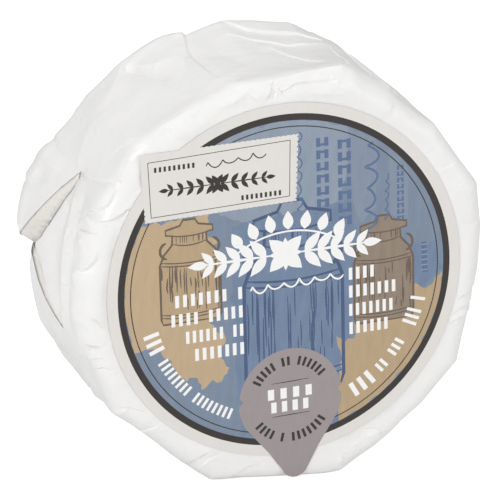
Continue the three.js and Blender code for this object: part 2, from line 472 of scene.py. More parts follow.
# The left panel's edge lies over the pleated part, below and left of it.
PANEL_CORNER = (153.0, -0.8, 2.05)
PANEL_EDGE = [
    PANEL_CORNER, (152.4, -4, 1.8), (151.4, -7.6, 1.6), (149.6, -11, 1.4), (147.5, -12.9, 1.15),
]
FLAP_ROOT = [
    PANEL_CORNER, (152.4, 4, 3.3), (152.0, 9, 4.35), (151.5, 13.2, 4.4), (151, 15.6, 1.4),
]
PLEATS = [
    PANEL_EDGE, shifted(PANEL_EDGE, 0.75, -0.5), FLAP_ROOT,
    [(154.2, 0.2, 1.7), (158.5, 1.6, 1.75), (164, 4.0, 1.95), (170, 7.2, 2.4), (176, 11.2, 3.2)],
    [(155.4, 3.2, 3.0), (160, 5.0, 3.8), (164.5, 7.0, 4.3), (170, 10.0, 4.8)],
    [(154.6, -1.4, 1.55), (158.5, -1.2, 1.55), (164, 0.8, 1.6), (170, 3.8, 1.65), (176, 7.8, 1.7),
     (179.4, 11.0, 1.8)],
    [(154.6, -2.4, 1.6), (160, -3.3, 1.75), (168, -4.2, 1.9), (176, -4.8, 1.95), (184, -5, 1.9),
     (192, -4.6, 1.8), (196.5, -3.6, 1.6)],
    [(163, -1.2, 1.2), (169, 0.2, 0.9), (176, 2.2, 0.75), (181, 2.6, 0.7), (186, 0.0, 0.75),
     (191, -2.2, 0.95)],
    [(158, -6.2, 1.05), (166, -6.9, 0.75), (176, -7.5, 0.8), (186, -7.5, 0.95), (193, -7.0, 1.1)],
    [(158.6, -9.0, 1.35), (166, -9.2, 1.4), (176, -9.4, 1.5), (186, -9.4, 1.5), (193, -8.8, 1.3)],
    [(161, -11.0, 1.75), (163.4, -12.8, 0.85), (167.4, -11.2, 1.7), (170.4, -12.9, 0.75),
     (176.6, -11.3, 1.75), (181.4, -12.9, 0.9), (186.6, -11.0, 1.7), (191.6, -12.8, 0.8)],
    [(180.4, 11.4, 1.95), (183.0, 8.0, 1.95), (186.8, 4.8, 1.85), (190.0, 2.4, 1.75),
     (192.6, -0.4, 1.6), (196.0, -2.4, 1.4)],
    [(181.8, 12.0, 1.6), (184.8, 8.8, 1.5), (188.4, 5.8, 1.45), (191.6, 3.2, 1.4),
     (194.4, 0.4, 1.3), (197, -1.8, 1.25)],
    [(184.6, 12.6, 1.9), (188.6, 9.6, 1.9), (192.4, 6.8, 1.8), (196, 3.8, 1.6), (200, 2, 1.55)],
    [(196.6, -2.3, 1.35), (199.4, -0.8, 1.7), (203, 2, 2.1), (206.5, 7, 2.3), (209, 12, 2.2)],
]

# Small overlaps and tucks: (angle, across) points, rise, drop, the side that drops and,
# where it isn't the usual one, the width.
TUCKS = [
    ([(127.4, 9.9), (125.4, 6.4), (123.2, 2.8), (120.6, -0.8)], 0.25, 0.5, -1, 0.5),
    ([(120.6, -0.8), (118, -1.8), (115, 0.0), (112.8, 2.2)], 0.3, 0.5, -1, 0.5),
    ([(100, 7.2), (94, 4.2), (86, 1.6), (80, 1.8), (75, 3.2)], 0.08, 0.22, 1),
    ([(99, 12.0), (93, 8.4), (87, 7.2), (81, 6.4), (74, 5.4)], 0.16, 0.4, 1),
    ([(84, 12.9), (79, 11.4), (75, 9.6), (71.5, 7.2)], 0.15, 0.35, -1),
    ([(81, 13.6), (77.5, 13.4), (74, 12.2), (71, 8.6)], 0.20, 0.30, 1),
    ([(91, 1.0), (88, -2.6), (84, -6.2), (80.5, -8.6)], 0.05, 0.25, 1),
    ([(75, -11.0), (74.6, -6), (74, -1), (73, 3)], 0.10, 0.30, -1),
    ([(75, -8.6), (71, -9.6), (67.4, -9.2)], 0.05, 0.35, -1),
    ([(66.8, 6.4), (64, 3.8), (58, 2.6)], 0.10, 0.30, 1),
    ([(98, -13.4), (95.4, -14.8), (91.4, -13.8), (84.4, -13.6), (79, -13.2)], 0.4, 0.25, 1, 0.7),
    ([(114.6, -14.4), (110, -14.6), (105.4, -14.0), (103, -15.2), (101.4, -15.8)], 0.35, 0.25, 1, 0.6),
    ([(101.4, -15.8), (100.2, -15.4), (99, -14.6), (98, -13.6)], 0.35, 0.15, 1, 0.6),
    ([(122.4, -12.8), (120.6, -13.8), (118.8, -13.0)], 0.05, 0.25, 1),
    ([(140.4, -2.6), (138, -5.4), (134.6, -7.2), (131, -7.8)], 0.05, 0.16, -1),
    ([(146, -7.2), (141, -8.6), (136, -11.4)], 0.06, 0.14, 1),
    ([(159.4, -9.6), (158.6, -12.0), (155, -13.2), (150, -12.9)], 0.25, 0.6, 1),
    ([(160.6, -12.8), (158.6, -14.4), (155.4, -15.8), (152.6, -16.7)], 0.25, 0.4, 1),
    ([(165.4, -7.4), (165, -10.6), (164, -13.6)], 0.2, 0.4, -1),
    ([(175.2, -11.9), (173.4, -13.2), (170.8, -14.1), (168.2, -14.2)], 0.2, 0.6, 1, 0.5),
    ([(158, -2.2), (161, -5.0), (162.6, -9.4)], 0.10, 0.16, 1),
    ([(163, -0.4), (166.5, -3.4), (169, -8.6)], 0.12, 0.14, 1),
    ([(170, 2.4), (172.6, -2.2), (174.4, -8.8)], 0.10, 0.12, 1),
    ([(181.4, 1.0), (182.4, -4.6), (182, -11)], 0.10, 0.14, -1),
    ([(185.8, -12.6), (188.4, -15.0), (192.8, -16.2)], 0.22, 0.4, 1),
    ([(194.4, -9.0), (195.0, -11.8), (196.6, -14.4)], 0.5, 1.5, 1, 0.8),
    ([(200.4, -14.6), (200.6, -12.4), (200.2, -9.4)], 0.2, 0.3, -1),
    ([(203.4, 1.4), (203, -3), (202, -6.8), (201, -11.4)], 0.22, 0.35, 1),
    ([(205.6, -1.0), (210.6, -3.6), (213.6, -9.8)], 0.2, 0.3, 1),
    ([(204, -11.6), (203.4, -14.0), (205.4, -15.6)], 0.10, 0.25, 1),
    ([(216, -12.6), (218.4, -14.6), (223.4, -16.4)], 0.08, 0.20, 1),
    ([(228, -12.0), (229, -14.4), (230, -16.4)], 0.06, 0.18, -1),
    ([(244.6, -11.8), (245.4, -14.2), (248.6, -16.2)], 0.15, 0.25, 1),
    ([(248.0, -12.4), (249.8, -14.6), (253.6, -16.2)], 0.10, 0.25, -1),
    ([(258, -12.8), (262, -14.6), (268, -15.8)], 0.06, 0.16, 1),
    ([(289, -12.8), (294, -14.0), (299.4, -14.5), (305, -13.8), (309, -12.4)], 0.15, 0.25, -1),
    ([(299, -16.4), (303, -15.2), (306, -13.4)], 0.06, 0.15, 1),
    ([(342.6, -16.6), (345.6, -15.0), (347.6, -13.2), (349, -10.5)], 0.08, 0.25, 1),
    ([(345.4, -16.6), (348.8, -15.2), (350.8, -13.2), (352.4, -10.5)], 0.08, 0.30, 1),
    ([(350.4, -16.6), (353.2, -15.0), (355, -13.2), (356.6, -10.5)], 0.08, 0.25, 1),
    ([(13.5, -12.8), (14.2, -14.8), (15.4, -16.4)], 0.05, 0.12, 1),
    ([(33, -12.4), (34, -14.6), (35, -16.4)], 0.05, 0.12, 1),
    ([(60, -12.8), (61, -14.6), (62, -16.2)], 0.05, 0.10, -1),
    ([(96.6, -14.6), (97.2, -15.8), (97.8, -16.6)], 0.04, 0.14, 1),
]


HIDDEN_ANGLES = (4, 16, 31, 38, 55, 218, 233, 243, 297, 313, 322, 341, 350)
BACK_PLEATS = 25


def hidden_side_tucks(rng):
    """Slanted overlaps on the sides that face away from the label's left."""
    made = []
    for angle in HIDDEN_ANGLES:
        angle += rng.uniform(-1.5, 1.5)
        lean = rng.uniform(4, 9)
        start = rng.uniform(-8, 0)
        points = [
            (angle, start), (angle + lean * 0.35, start * 0.4 + 4), (angle + lean, 12.8)]
        side = 1 if rng.random() < 0.7 else -1
        rise, drop = rng.uniform(0.2, 0.45), rng.uniform(0.4, 0.9)
        made.append((points, rise, drop, side, 0.45))
    return made


def back_pleats(rng):
    """Pleats that run in from the back rim and under the closing label.

    One that would cross the seam is left out.
    """
    steps = ((0.15, 0.5), (0.5, 6), (1, 12), (1.5, 19))   # share of the lean, way onto the face
    made = []
    for k in range(BACK_PLEATS):
        angle = 360 * (k + rng.uniform(-0.3, 0.3)) / BACK_PLEATS
        lean = rng.uniform(7, 15)
        start = RIM_END - rng.uniform(1.0, 5.0)
        if wrap(angle) > wrap(angle + lean * steps[-1][0]):
            continue
        points = [(angle, start)] + [(angle + lean * t, RIM_END + way) for t, way in steps]
        made.append((points, rng.uniform(0.45, 0.95), rng.uniform(0.05, 0.25), -1))
    return made


def solve_sheet(lines):
    """Points, heights and triangles of the main sheet for a set of fold lines.

    The paper is flat under the front label, low beside it, no higher than the plain
    shape under the stamp and the tab, and nearly flat under the closing label.
    """
    where, heights, triangles = triangulate(drum_points(), lines)
    triangles = close_seam(where, triangles)
    where, heights, triangles = drop_unused(where, heights, triangles)
    angle, across = wrap(where[:, 0]), where[:, 1]
    heights = np.where(across < LABEL_R + PRESSED - FACE_END, 0.0, heights)
    height = relax(where, heights, triangles, SHEET_ROUNDS)
    beside = LABEL_R + EASED - FACE_END
    low = EASED_HEIGHT - EASED_FALL * np.clip(beside - across, 0, EASED - PRESSED)
    height = np.where(across < beside, np.minimum(height, low), height)
    past = -across - HALF_SIDE
    at_tab = ((angle > TAB_ANGLES[0]) | (angle < TAB_ANGLES[1])) & (past > TAB_PAST)
    at_stamp = (angle > STAMP_ANGLES[0]) & (angle < STAMP_ANGLES[1]) & (past > STAMP_PAST)
    base = base_height(where[:, 0], across)
    height = np.where(at_tab | at_stamp, np.minimum(height, base), height)
    under_closure = across > FACE_END - CLOSURE_R - 1
    height = np.where(under_closure, np.clip(height, 0.0, CLOSURE_HEIGHT), height)
    return where, height, triangles


def under_patches(where):
    """1 where the flap or the strip covers the main sheet, fading to 0 around them."""
    lips = np.array([point[:2] for point in FLAP[:FLAP_LIP] + STRIP[:STRIP_LIP]])
    angle, across = wrap(where[:, 0]), where[:, 1]
    lip = np.interp(angle, lips[:, 0], lips[:, 1])
    return fade(angle, 148, 152) * (1 - fade(angle, 209, 213)) * fade(across, lip - 3, lip - 0.5)


def make_main_sheet():
    """The sheet round the whole wheel: its folds first, then its overlaps laid on them."""
    rng = np.random.default_rng(TUCK_SEED)
    lines = [fold_points(fold) for fold in CORNERS + TOP + LEFT_PANEL + PLEATS]
    where, height, _ = solve_sheet(lines)
    lines += overlap_lines(where, height, TUCKS + hidden_side_tucks(rng) + back_pleats(rng))
    where, height, triangles = solve_sheet(lines)
    facets = 1 - 0.85 * under_patches(where)
    return paper_object("wrapper_sheet", where, height, triangles, facets, SHEET_SEED)


def make_patch(name, outline, folds, seed):
    """A loose part of the sheet: its outline's heights are fixed, and it is thick."""
    loop = fold_points(outline + outline[:1])
    low, high = loop[:, :2].min(0), loop[:, :2].max(0)
    angles, stagger = rows(low[0], high[0], math.degrees(STEP / PAPER_R)), 0.4
    spots = []
    for i, across in enumerate(rows(low[1], high[1], STEP * PATCH_ROW_SHARE)):
        spots.append(np.stack([angles + (i % 2) * stagger, np.full(len(angles), across)], -1))
    spots = np.concatenate(spots)
    spots = spots[inside(spots, loop[:, :2])]
    lines = [fold_points(fold) for fold in folds] + [loop]
    where, heights, triangles = triangulate(spots, lines)
    middle = where[triangles].mean(1)
    triangles = triangles[inside(middle, loop[:, :2])]
    where, heights, triangles = drop_unused(where, heights, triangles)
    height = relax(where, heights, triangles, PATCH_ROUNDS)
    piece = paper_object(name, where, height, triangles, PATCH_CRUMPLE, seed)
    thicken(piece)
    return piece


def inside(points, loop):
    """True for each point inside a closed outline."""
    x, y = points[:, 0], points[:, 1]
    hit = np.zeros(len(points), bool)
    for (x0, y0), (x1, y1) in zip(loop, np.roll(loop, -1, axis=0)):
        if y0 == y1:
            continue
        crosses = (y0 > y) != (y1 > y)
        hit ^= crosses & (x < (x1 - x0) * (y - y0) / (y1 - y0) + x0)
    return hit


# The proud flap at the upper left, from its free lower edge round to the back. The
# first points of its outline, and of the strip's below, are its free edge.
FLAP_LIP, STRIP_LIP = 5, 10
FLAP = [
    (152.6, -1.0, 2.0), (158.5, 1.0, 3.15), (164, 3.4, 4.1), (170, 6.6, 4.85), (176, 10.6, 5.4),
    (178.6, 12.6, 4.2), (179.4, 14.2, 2.8), (178, 17.5, 0.9), (168, 20, 0.5), (158, 20, 0.5),
    (150.6, 16.0, 1.0), (150.7, 13.2, 4.0), (151.2, 9, 4.15), (151.8, 4, 3.15),
]
FLAP_FOLDS = [
    [(174.5, 11.6, 5.6), (168, 12.6, 5.9), (162.5, 13.2, 6.1), (158.6, 13.2, 5.9),
     (154, 13.0, 4.9)],
    [(158.4, 12.0, 5.4), (159.6, 9.4, 4.4), (160.6, 6.8, 4.35)],
    [(156.4, 12.0, 5.5), (156.8, 9.0, 5.0), (157, 6, 4.35)],
    [(164, 12.2, 5.8), (163.4, 8.6, 5.0), (163.2, 6.2, 4.7)],
]

# The narrow strip below the flap, lifted off the pleats along its free edge.
STRIP = [
    (180.4, 12.9, 2.5), (184, 10.0, 2.6), (188, 6.9, 2.65), (191.5, 4.2, 2.45), (194.6, 1.2, 2.0),
    (197.4, -1.8, 1.35), (200, -0.6, 1.5), (203, 2, 1.9), (206.5, 7, 2.0), (209, 12, 1.8),
    (209, 15.6, 0.9), (204, 19, 0.3), (192, 20, 0.3), (181, 19, 0.3), (179.2, 15.6, 1.4),
]
STRIP_FOLDS = [
    [(186, 13.2, 2.4), (193, 13.4, 2.6), (200, 13.2, 2.5), (206, 13, 2.3)],
    [(190, 9.4, 2.7), (197, 6, 2.4), (202, 6.6, 2.15)],
]

# Sheets of paper under the flap's free edge and inside the strip's, in a darker, warmer tone: painted
# shade in the hollows under the flap and the strip.
FLAP_SHADE_SHEET = [
    (153.4, -0.4, 2.0), (158.5, 1.3, 2.95), (164, 3.7, 3.9), (170, 6.9, 4.65), (176, 10.9, 5.15),
    (178.4, 12.6, 4.0), (179.0, 11.4, 1.9), (176, 8.6, 1.85), (170, 4.9, 1.82), (164, 2.0, 1.78),
    (158.5, -0.1, 1.68), (155, -0.8, 1.62),
]
STRIP_SHADE_SHEET = [
    (181, 13.0, 2.25), (184.3, 10.3, 2.4), (188.3, 7.2, 2.45), (191.8, 4.5, 2.25),
    (194.9, 1.5, 1.85), (197, -1.2, 1.35), (196.6, -2.0, 1.28), (194.2, 0.1, 1.38),
    (191.4, 2.9, 1.48), (188.2, 5.5, 1.52), (184.6, 8.5, 1.56), (181.4, 11.4, 1.65),
]


# ---- materials ----

def fill(tree, target, inputs):
    """Sets a node's inputs to values, or links them from other nodes' outputs."""
    for name, value in inputs.items():
        if isinstance(value, bpy.types.NodeSocket):
            tree.links.new(value, target.inputs[name])
        else:
            target.inputs[name].default_value = value


def node(tree, kind, inputs, output=0, **settings):
    """Adds a node and returns one of its outputs."""
    made = tree.nodes.new("ShaderNode" + kind)
    for name, value in settings.items():
        setattr(made, name, value)
    fill(tree, made, inputs)
    return made.outputs[output]


def new_material(name):
    """A material, its node tree, its shader and its object coordinates."""
    made = bpy.data.materials.new(name)
    made.use_nodes = True
    tree = made.node_tree
    return made, tree, tree.nodes["Principled BSDF"], node(tree, "TexCoord", {}, "Object")


def noise(tree, where, scale, detail, output="Fac", distortion=0.0):
    inputs = {"Vector": where, "Scale": scale, "Detail": detail, "Distortion": distortion}
    return node(tree, "TexNoise", inputs, output)


def mixed(tree, share, first, second):
    return node(tree, "MixRGB", {"Fac": share, "Color1": first, "Color2": second})


def bumps(tree, layers):
    """Bumps on top of each other: (height, strength, distance) for each."""
    inputs = {}
    for height, strength, distance in layers:
        inputs.update({"Height": height, "Strength": strength, "Distance": distance})
        inputs["Normal"] = node(tree, "Bump", inputs)
    return inputs["Normal"]


def opaque(colour):
    return (*colour, 1)


def paper_material(name, dull, bright):
    """Glossy thin paper: fine creases and fibre, its colour drifting between two tones."""
    made, tree, shader, where = new_material(name)
    crease_warp, crease_width = 0.004, 0.10
    warp = noise(tree, where, 160, 3, "Color")
    bent = node(tree, "VectorMath", {0: warp, 1: (crease_warp,) * 3, 2: where},
                operation="MULTIPLY_ADD")
    cells = node(tree, "TexVoronoi", {"Vector": bent, "Scale": 170}, "Distance",
                 feature="DISTANCE_TO_EDGE")
    crease = node(tree, "MapRange", {"Value": cells, "From Max": crease_width})
    soft = noise(tree, where, 420, 4)
    fibre = noise(tree, where, 2600, 2)
    normal = bumps(tree, ((crease, 0.14, 0.0003), (soft, 0.25, 0.0003), (fibre, 0.12, 0.00005)))
    fill(tree, shader, {
        "Base Color": mixed(tree, soft, opaque(dull), opaque(bright)), "Roughness": 0.42,
        "Coat Weight": 0.12, "Coat Roughness": 0.25, "Normal": normal})
    return made


def rind_material():
    """A soft white bloom over a cream rind, in fuzzy patches with small pits."""
    made, tree, shader, where = new_material("cheese_rind")
    cream, white = (0.80, 0.66, 0.43), (0.89, 0.86, 0.77)
    patches = noise(tree, where, 130, 5, distortion=0.6)
    fuzz = noise(tree, where, 1500, 3)
    pits = node(tree, "TexVoronoi", {"Vector": where, "Scale": 420}, "Distance")
    bloom = node(tree, "MapRange", {"Value": patches, "From Min": 0.38, "From Max": 0.56})
    rough = node(tree, "MapRange", {"Value": patches, "To Min": 0.62, "To Max": 0.95})
    fill(tree, shader, {
        "Base Color": mixed(tree, bloom, opaque(cream), opaque(white)), "Roughness": rough,
        "Subsurface Weight": 0.4, "Subsurface Radius": (1.0, 0.8, 0.5),
        "Subsurface Scale": 0.002,
        "Normal": bumps(tree, ((pits, 0.5, 0.0003), (fuzz, 0.35, 0.0001)))})
    return made


# name: colour as 8-bit sRGB, tone change, share of halftone
INKS = {
    "label_paper": ((226, 223, 218), 0.02, 0.0),
    "print_black": ((46, 41, 38), 0.10, 0.0),
    "print_white": ((247, 246, 243), 0.03, 0.0),
    "print_blue": ((117, 132, 152), 0.10, 0.10),
    "print_blue_pale": ((137, 149, 165), 0.08, 0.09),
    "print_blue_grey": ((126, 139, 157), 0.09, 0.09),
    "print_blue_deep": ((106, 125, 152), 0.16, 0.12),
    "print_blue_ink": ((86, 108, 143), 0.12, 0.05),
    "print_navy": ((66, 86, 122), 0.14, 0.05),
    "print_tan": ((187, 162, 130), 0.08, 0.10),
    "print_tan_deep": ((177, 154, 121), 0.09, 0.10),
    "print_tan_brown": ((139, 124, 108), 0.12, 0.08),
    "print_brown": ((104, 88, 74), 0.12, 0.05),
    "print_tab": ((153, 144, 145), 0.04, 0.06),
}
PRINT_ROUGHNESS, SMOOTHER = 0.42, {"print_black": 0.40, "print_tab": 0.38}
HALFTONE_PITCH = 0.00046   # metres


def linear(colour):
    """Linear values for an 8-bit sRGB colour."""
    share = np.array(colour, float) / 255
    return np.where(share <= 0.04045, share / 12.92, ((share + 0.055) / 1.055) ** 2.4)


def print_material(ink):
    """Ink on paper: a worn tone, and a halftone screen where it is a tint."""
    if ink in bpy.data.materials:
        return bpy.data.materials[ink]
    colour, change, screen = INKS[ink]
    roughness = SMOOTHER.get(ink, PRINT_ROUGHNESS)
    made, tree, shader, where = new_material(ink)
    base = linear(colour)
    dark, light = base * (1 - change * 1.6), np.minimum(base * (1 + change * 1.8), 0.95)
    stretched = node(tree, "Mapping", {"Vector": where, "Scale": (1.0, 1.0, 0.22)})
    wash = noise(tree, stretched, 900, 6)
    tone = mixed(tree, wash, opaque(dark), opaque(light))
    if screen:
        turned = node(tree, "Mapping", {
            "Vector": where, "Rotation": (0, math.radians(45), 0),
            "Scale": (1 / HALFTONE_PITCH,) * 3})
        across, along = (
            node(tree, "TexWave", {"Vector": turned, "Scale": 1 / math.pi}, "Fac",
                 bands_direction=direction)
            for direction in ("X", "Z"))
        dots = node(tree, "Math", {0: across, 1: along}, operation="MULTIPLY")
        share = node(tree, "Math", {0: dots, 1: screen * 2.6}, operation="MULTIPLY")
        tone = mixed(tree, share, tone, opaque(np.minimum(base * 1.9 + 0.05, 0.9)))
    grain = noise(tree, where, 2400, 3)
    fill(tree, shader, {"Base Color": tone, "Roughness": roughness,
                        "Normal": bumps(tree, ((grain, 0.12, 0.00004),))})
    return made


# ---- printed labels ----
# Label art is drawn in millimetres from the label's middle, x to the right and y up,
# as closed outlines. A later outline covers an earlier one.

LABEL_TURN, CLOSURE_TURN = 5.3, -3.0     # degrees anticlockwise, as each label is seen
LABEL_PROUD, CLOSURE_PROUD = 0.22, 0.5   # how far each label stands off the flat face
RING_OUT, RING_IN = 32.0, 30.75
HAIR_RING = 29.6
TAB_MIDDLE, TAB_R = (0.4, -23.2), 10.0
TAB_TIP, TAB_TIP_R = (1.1, -36.6), 2.5
TAB_WAIST = ((5.6, -33.4), (-3.7, -33.8))   # where its sides turn in to the tip
STAMP = [(-27.0, 27.8), (2.9, 28.0), (2.3, 15.3), (-26.4, 14.9)]
STAMP_FRAME = [(-25.5, 26.2), (1.3, 27.0), (1.0, 16.4), (-25.2, 15.8)]


def arc(middle, radius, start, end, count):
    """Points along an arc, in degrees anticlockwise from x."""
    turns = np.radians(np.linspace(start, end, count))
    return [(middle[0] + radius * math.cos(t), middle[1] + radius * math.sin(t)) for t in turns]


def disc(middle, radius, count=120):
    return arc(middle, radius, 0, 360, count + 1)[:-1]


def stroke(points, width):
    """The outline of a line of a given width, narrowed at its two ends."""
    points = np.array(points, float)
    along = np.gradient(points, axis=0)
    along /= np.maximum(np.hypot(*along.T), 1e-9)[:, None]
    side = np.stack([-along[:, 1], along[:, 0]], -1) * width / 2
    side[[0, -1]] *= 0.5
    return [tuple(p) for p in np.concatenate([points + side, (points - side)[::-1]])]


def band(middle, radius, width, start=0, end=360, count=150):
    """The outline of a ring, or of a part of one."""
    if end - start >= 360:
        end = start + 359.99
    return (arc(middle, radius + width / 2, start, end, count)
            + arc(middle, radius - width / 2, end, start, count))


def turned(points, x, y, degrees):
    """Points turned about the origin, then moved to a place."""
    c, s = math.cos(math.radians(degrees)), math.sin(math.radians(degrees))
    return [(x + c * u - s * v, y + s * u + c * v) for u, v in points]


def block(x, y, wide, high, lean=0.0):
    """A plain block, turned about its middle: it stands in for a letter."""
    u, v = wide / 2, high / 2
    return turned([(-u, -v), (u, -v), (u, v), (-u, v)], x, y, lean)


def block_row(left, right, y, high, words):
    """A row of blocks in words, between two ends."""
    letters = sum(words) + len(words) - 1
    step = (right - left) / letters
    made, place_at = [], left + step / 2
    for word in words:
        for _ in range(word):
            made.append(block(place_at, y, step * 0.5, high))
            place_at += step
        place_at += step
    return made


def block_arc(middle, radius, start, end, high, words):
    """Words of blocks that stand along an arc."""
    letters = sum(words) + len(words) - 1
    step = (end - start) / letters
    made, turn = [], start + step / 2
    for word in words:
        for _ in range(word):
            x, y = arc(middle, radius, turn, turn, 1)[0]
            made.append(block(x, y, abs(math.radians(step)) * radius * 0.5, high, turn - 90))
            turn += step
        turn += step
    return made


def wave_line(start, end, swing, waves, width, count=150):
    """A running flourish, like slanted handwriting with no letters, from start to end."""
    start, end = np.array(start, float), np.array(end, float)
    length = np.hypot(*(end - start))
    along = (end - start) / length
    side = np.array([-along[1], along[0]])
    share = np.linspace(0, 1, count)[:, None]
    turn = share * waves * 2 * math.pi
    size = swing * (0.75 + 0.25 * np.sin(turn * 0.37))
    points = start + share * (end - start) + side * np.sin(turn) * size
    points = points + along * np.cos(turn) * length / waves * 0.11
    return stroke(points, width)


def leaf(x, y, length, wide, lean):
    """A pointed leaf that starts at a point and runs off at an angle."""
    share = np.linspace(0, 1, 7)
    half = wide / 2 * np.sin(math.pi * share ** 0.8)
    rim = list(zip(share * length, half)) + list(zip(share[-2:0:-1] * length, -half[-2:0:-1]))
    return turned(rim, x, y, lean)


def sprig(x, y, length, size, lean, pairs):
    """A stem with pairs of leaves and one at its end."""
    stem = turned([(length * t, 0) for t in (0, 0.5, 1)], x, y, lean)
    made = [stroke(stem, size * 0.12)]
    for k in range(pairs):
        foot = turned([(length * (k + 0.35) / pairs, 0)], x, y, lean)[0]
        taper = 1 - 0.35 * k / pairs
        for side in (-1, 1):
            made.append(leaf(*foot, size * taper, size * 0.42 * taper, lean + side * 48))
    tip = turned([(length * 0.96, 0)], x, y, lean)[0]
    made.append(leaf(*tip, size * 0.8, size * 0.36, lean))
    return made


# A churn's right side from its foot up, and its hoops, as shares of its half width and height.
CHURN_SIDE = ((0.94, 0), (1, 0.05), (1, 0.58), (0.86, 0.68), (0.58, 0.77), (0.56, 0.86),
              (0.78, 0.87), (0.78, 0.92), (0.3, 0.95), (0.2, 1))
CHURN_HOOPS = ((0.07, 1.0), (0.1, 1.0), (0.58, 1.0), (0.61, 0.97), (0.78, 0.56), (0.87, 0.74))


def churn(middle, low, wide, high, rng):
    """A plain milk churn: the outline of its body, then the strokes that shade it."""
    half = wide / 2
    right = [(half * u, high * v) for u, v in CHURN_SIDE]
    body = [(middle + x, low + y) for x, y in right]
    body += [(middle - x, low + y) for x, y in right[::-1]]
    strokes = [stroke(body + body[:1], wide * 0.035)]
    for level, reach in CHURN_HOOPS:
        sag = wide * 0.05
        line = [(middle + half * reach * t, low + high * level - sag * (1 - t * t))
                for t in np.linspace(-1, 1, 9)]
        strokes.append(stroke(line, wide * 0.022))
    for side in (-1, 1):
        grip = [(middle + side * (half * 0.72 + wide * 0.13 * math.sin(t)),
                 low + high * (0.72 + 0.08 * math.cos(t))) for t in np.linspace(0.2, 3.0, 8)]
        strokes.append(stroke(grip, wide * 0.045))
    for _ in range(round(wide * 2.6)):
        x = middle + half * rng.uniform(-0.95, 0.95)
        weight = 0.35 + 0.65 * abs(x - middle - 0.25 * half) / half
        start = rng.uniform(0.08, 0.45)
        end = min(0.57, start + rng.uniform(0.08, 0.34) * weight * 1.6)
        points = [(x + rng.normal(0, 0.05), low + high * t) for t in np.linspace(start, end, 4)]
        strokes.append(stroke(points, 0.16 + 0.16 * weight))
    for _ in range(round(wide * 0.9)):
        x = middle + half * rng.uniform(-0.5, 0.5)
        strokes.append(stroke([(x, low + high * t) for t in (0.78, 0.82, 0.855)], 0.18))
    return body, strokes


def ragged(points, rng, roughness):
    """A brushed outline: each stretch is broken into short uneven steps."""
    made = []
    for (x0, y0), (x1, y1) in zip(points, points[1:] + points[:1]):
        count = max(1, round(math.hypot(x1 - x0, y1 - y0) / 0.9))
        for k in range(count):
            t = k / count
            made.append((x0 + t * (x1 - x0) + rng.normal(0, roughness * 0.5),
                         y0 + t * (y1 - y0) + rng.normal(0, roughness)))
    return made


def scalloped(corners, pitch, depth):
    """An outline with small half-round bites, as torn along a perforation."""
    made = []
    corners = np.array(corners, float)
    for start, end, bite in zip(corners, np.roll(corners, -1, axis=0), depth):
        length = np.hypot(*(end - start))
        along = (end - start) / length
        inward = np.array([along[1], -along[0]])
        count = round(length / pitch)
        for k in range(count):
            for t, push in ((0.0, 0), (0.28, 0), (0.5, bite), (0.72, 0)):
                made.append(tuple(start + along * (k + t) * length / count + inward * push))
    return made


def tab_outline():
    """A round tab that narrows to a blunt point, with a small notch on each side."""
    x, y = TAB_MIDDLE
    right = arc(TAB_MIDDLE, TAB_R, 90, 8, 26) + [(x + TAB_R - 0.9, y + 0.7), (x + TAB_R, y - 0.1)]
    right += arc(TAB_MIDDLE, TAB_R, -3, -27, 8) + [TAB_WAIST[0]]
    right += arc(TAB_TIP, TAB_TIP_R, -22, -90, 8)
    left = arc(TAB_TIP, TAB_TIP_R, -98, -160, 8) + [TAB_WAIST[1]]
    left += arc(TAB_MIDDLE, TAB_R, 207, 183, 8) + [(x - TAB_R, y - 0.1), (x - TAB_R + 0.9, y + 0.7)]
    left += arc(TAB_MIDDLE, TAB_R, 172, 93, 24)
    return right + left


